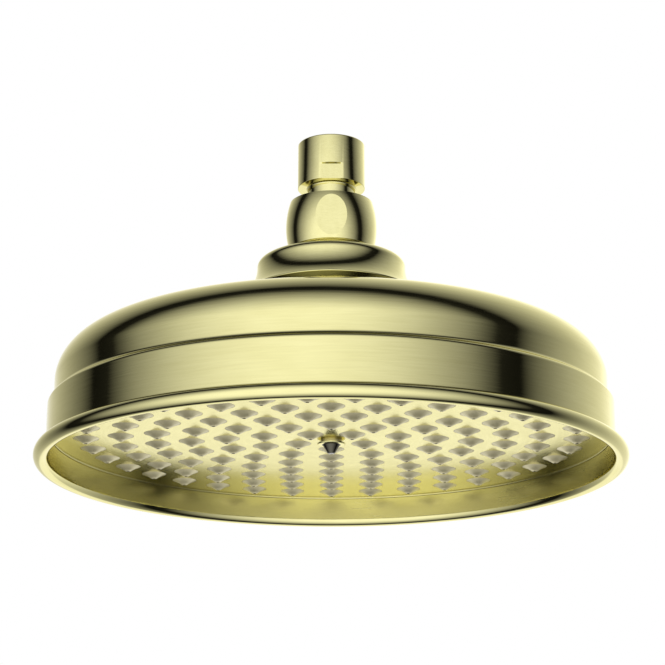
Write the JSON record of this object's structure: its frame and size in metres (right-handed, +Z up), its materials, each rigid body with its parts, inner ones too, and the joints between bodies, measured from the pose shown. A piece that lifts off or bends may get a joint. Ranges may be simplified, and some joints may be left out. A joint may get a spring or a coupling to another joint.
{
  "type": "fixed shower head",
  "caption": "Apron-style overhead shower rose in brushed gold: domed shell with rolled rim, recessed face with soft conical nozzles, and a ball swivel with a female inlet.",
  "frame": {"origin": "centre of the inlet socket's mouth, where the supply pipe screws in", "axes": "+Z up along the inlet's axis, out of its mouth; -Y is the front, towards one wrench flat"},
  "size_m": [0.2, 0.2, 0.1186],
  "materials": {
    "gold": "fine circumferential brushing under clear lacquer",
    "brass": "raw turned brass",
    "steel": "plain stainless steel",
    "silicone": "satin silicone with a gold pearl tint",
    "rubber": "black nitrile rubber",
    "acetal": "natural white acetal"
  },
  "bodies": {
    "stem": {"ball_stem": "gold", "filter_screen": "steel", "inlet_washer": "rubber"},
    "slip": {"slip_ring": "acetal"},
    "seat": {"ball_seat": "acetal", "ball_seal": "rubber"},
    "head": {"ball_nut": "gold", "collar": "gold", "dome_gasket": "rubber", "lock_washer": "steel", "locknut": "brass", "shell": "gold", "plate_seat": "brass", "plate_seal": "rubber", "face_plate": "gold", "nozzle_mat": "silicone", "mat_backing": "acetal", "centre_post": "brass", "centre_screw": "gold", "screw_seal": "silicone"}
  },
  "joints": [
    {"name": "swivel", "type": "hinge", "parent": "stem", "child": "slip", "pos_m": [0, 0, -0.031], "axis": [0, 0, 1], "continuous": true},
    {"name": "tilt", "type": "hinge", "parent": "slip", "child": "seat", "pos_m": [0, 0, -0.031], "axis": [1, 0, 0], "range_deg": [-8, 8]},
    {"name": "spin", "type": "hinge", "parent": "seat", "child": "head", "pos_m": [0, 0, -0.031], "axis": [0, 0, 1], "continuous": true}
  ]
}
